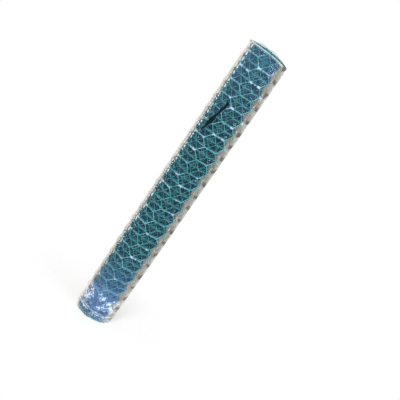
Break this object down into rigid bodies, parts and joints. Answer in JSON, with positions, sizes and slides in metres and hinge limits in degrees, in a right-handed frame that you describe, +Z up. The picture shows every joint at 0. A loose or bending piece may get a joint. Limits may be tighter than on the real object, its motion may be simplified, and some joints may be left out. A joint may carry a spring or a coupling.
{
  "type": "roll of chicken wire",
  "caption": "Slim upright roll of green coated hexagonal wire netting, wound in tight turns round a hollow core and held by a clear shrink film that turns in over both ends.",
  "frame": {"origin": "middle of the lower end, on the floor that the roll stands on", "axes": "+Z up along the roll's axis; +X through the point where the end's spiral slit begins"},
  "size_m": [0.0826, 0.0824, 0.6],
  "materials": {
    "coated_wire": "thin green plastic coat on galvanised wire, semi-gloss",
    "clear_film": "clear shrink film, glossy and finely creased"
  },
  "bodies": {
    "root": {"netting_roll": "coated_wire", "shrink_film": "clear_film"}
  },
  "joints": []
}
